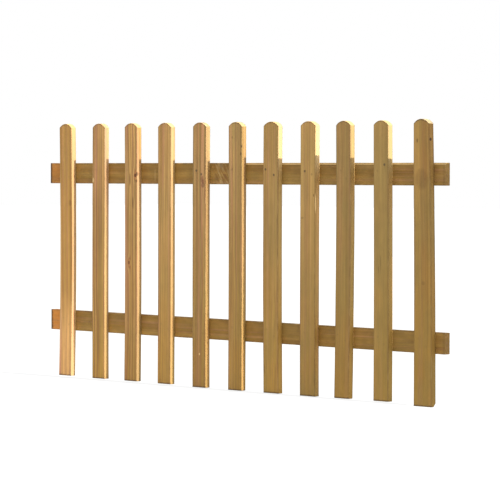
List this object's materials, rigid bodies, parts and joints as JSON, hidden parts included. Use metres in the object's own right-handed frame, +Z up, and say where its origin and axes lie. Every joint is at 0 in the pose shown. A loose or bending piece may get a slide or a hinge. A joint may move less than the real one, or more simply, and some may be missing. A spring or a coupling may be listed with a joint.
{
  "type": "picket fence panel",
  "caption": "Low open timber fence panel: upright pickets with arched tops nailed across two flat rails that run on past the outer pickets to reach the posts.",
  "frame": {"origin": "mid-length and mid-height of the lower rail's back face, the face that meets the posts", "axes": "+X along the rails to the right as seen from the front, +Y from the pickets back to the posts, +Z up the pickets"},
  "size_m": [1.806, 0.047, 0.9],
  "materials": {
    "picket_wood": "planed softwood, pressure treated, golden tan to olive",
    "rail_wood": "planed softwood, pressure treated, warm brown",
    "nail": "dull weathered steel nail heads"
  },
  "bodies": {
    "root": {"picket_01": "picket_wood", "picket_02": "picket_wood", "picket_03": "picket_wood", "picket_04": "picket_wood", "picket_05": "picket_wood", "picket_06": "picket_wood", "picket_07": "picket_wood", "picket_08": "picket_wood", "picket_09": "picket_wood", "picket_10": "picket_wood", "picket_11": "picket_wood", "upper_rail": "rail_wood", "lower_rail": "rail_wood"}
  },
  "joints": []
}
